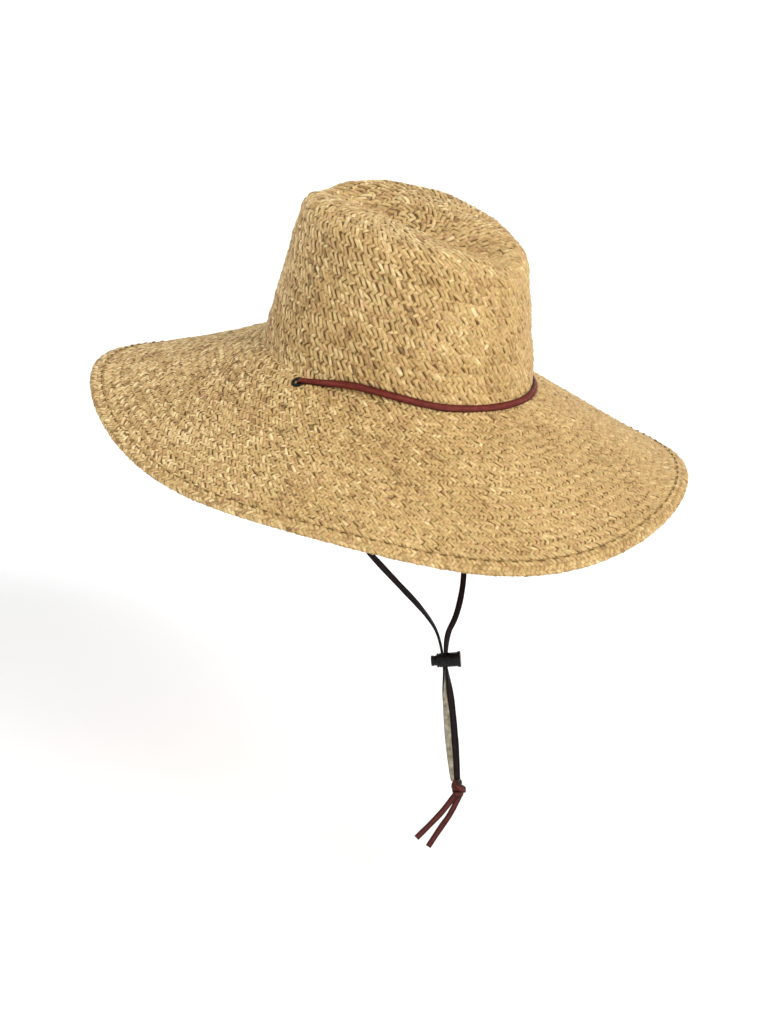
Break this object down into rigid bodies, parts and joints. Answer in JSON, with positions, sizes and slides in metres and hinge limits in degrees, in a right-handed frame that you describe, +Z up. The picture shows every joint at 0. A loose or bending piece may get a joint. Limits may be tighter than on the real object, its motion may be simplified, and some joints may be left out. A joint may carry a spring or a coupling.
{
  "type": "straw sun hat",
  "caption": "Wide-brimmed plaited straw sun hat with a creased, pinched crown, folded hem and a leather chin lace with a push-button cord lock.",
  "frame": {"origin": "centre of the head opening, level with the fold between crown and brim", "axes": "+Z up through the crown, front of the hat faces -Y, wearer's left is +X"},
  "size_m": [0.423, 0.458, 0.4901],
  "materials": {
    "straw": "plaited natural straw, dry, light tan",
    "thread": "waxed sewing thread, straw brown",
    "sweatband": "woven cotton tape, beige",
    "lace": "flat leather lace, reddish brown face, grey-tan flesh side",
    "black_metal": "black enamelled eyelet",
    "black_plastic": "black moulded plastic",
    "wire": "drawn spring steel"
  },
  "bodies": {
    "hat": {"straw_crown": "straw", "straw_brim": "straw", "brim_hem": "straw", "brim_wire": "wire", "wire_joiner": "wire", "hem_stitches": "thread", "sweatband": "sweatband", "sweatband_stitches": "thread", "eyelet_left": "black_metal", "eyelet_right": "black_metal", "eyelet_washer_left": "black_metal", "eyelet_washer_right": "black_metal", "chin_lace_band": "lace"},
    "chin_lace": {"chin_lace_left": "lace", "chin_lace_right": "lace", "drop_lace_left": "lace", "drop_lace_right": "lace", "chin_lace_knot": "lace", "lace_tail_left": "lace", "lace_tail_right": "lace"},
    "cord_lock": {"lock_barrel": "black_plastic", "lock_spring": "wire"},
    "lock_button": {"lock_plunger": "black_plastic"}
  },
  "joints": [
    {"name": "lace_swing", "type": "hinge", "parent": "hat", "child": "chin_lace", "pos_m": [0, 0.02721, -0.00839], "axis": [1, 0, 0], "range_deg": [-25, 75]},
    {"name": "lock_slide", "type": "slide", "parent": "chin_lace", "child": "cord_lock", "axis": [0, -0.2639, -0.9645], "range_m": [-0.09, 0.06], "deforming": ["chin_lace_left", "chin_lace_right", "drop_lace_left", "drop_lace_right"]},
    {"name": "lock_press", "type": "slide", "parent": "cord_lock", "child": "lock_button", "axis": [0.45, -0.8614, 0.2357], "range_m": [0, 0.0032], "stiffness_N_per_m": 800, "springref_m": -0.0015, "deforming": ["lock_spring"]}
  ]
}
